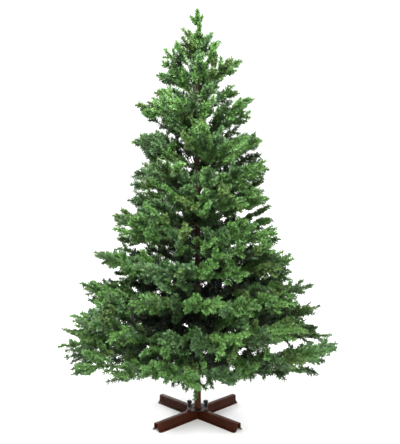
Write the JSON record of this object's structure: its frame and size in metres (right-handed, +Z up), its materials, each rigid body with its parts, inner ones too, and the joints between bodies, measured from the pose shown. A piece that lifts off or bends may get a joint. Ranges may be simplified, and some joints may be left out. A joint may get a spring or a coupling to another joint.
{
  "type": "artificial christmas tree with steel stand",
  "caption": "Undecorated artificial fir tree with a slim conical crown of needle foliage round a pole, standing on a low pressed-steel cross stand.",
  "frame": {"origin": "on the pole's axis at floor level, on the socket's closed flat underside", "axes": "+Z up along the pole, -Y towards the viewer of the front, +X to the viewer's right"},
  "size_m": [1.4332, 1.4331, 2.1],
  "materials": {
    "foliage": "matt cut-film needles in mid and dark green",
    "wrapped_wire": "steel wire wrapped in matt green-brown film",
    "pole_paint": "satin dark brown paint",
    "stand_paint": "satin reddish-brown paint",
    "knob_plastic": "moulded black plastic"
  },
  "bodies": {
    "root": {"pole": "pole_paint", "stand_hub": "stand_paint", "stand_leg_back_right": "stand_paint", "stand_leg_back_left": "stand_paint", "stand_leg_front_left": "stand_paint", "stand_leg_front_right": "stand_paint", "stand_knob_back_right": "knob_plastic", "stand_knob_back_left": "knob_plastic", "stand_bolt_front_left": "stand_paint", "stand_bolt_front_right": "stand_paint", "bough_1_1": "wrapped_wire", "bough_1_2": "wrapped_wire", "bough_1_3": "wrapped_wire", "bough_1_4": "wrapped_wire", "bough_1_5": "wrapped_wire", "bough_2_1": "wrapped_wire", "bough_2_2": "wrapped_wire", "bough_2_3": "wrapped_wire", "bough_2_4": "wrapped_wire", "bough_2_5": "wrapped_wire", "foliage_1_1": "foliage", "foliage_1_2": "foliage", "foliage_1_3": "foliage", "foliage_1_4": "foliage", "foliage_1_5": "foliage", "foliage_2_1": "foliage", "foliage_2_2": "foliage", "foliage_2_3": "foliage", "foliage_2_4": "foliage", "foliage_2_5": "foliage", "foliage_3_1": "foliage", "foliage_3_2": "foliage", "foliage_3_3": "foliage", "foliage_3_4": "foliage", "foliage_3_5": "foliage", "foliage_4_1": "foliage", "foliage_4_2": "foliage", "foliage_4_3": "foliage", "foliage_4_4": "foliage", "foliage_5_1": "foliage", "foliage_5_2": "foliage", "foliage_5_3": "foliage", "foliage_5_4": "foliage", "foliage_6_1": "foliage", "foliage_6_2": "foliage", "foliage_6_3": "foliage", "foliage_6_4": "foliage", "foliage_7_1": "foliage", "foliage_7_2": "foliage", "foliage_7_3": "foliage", "foliage_8_1": "foliage", "foliage_8_2": "foliage", "foliage_8_3": "foliage", "foliage_9_1": "foliage", "foliage_9_2": "foliage", "foliage_9_3": "foliage", "foliage_10_1": "foliage", "foliage_10_2": "foliage", "foliage_10_3": "foliage", "foliage_leader": "foliage"}
  },
  "joints": []
}
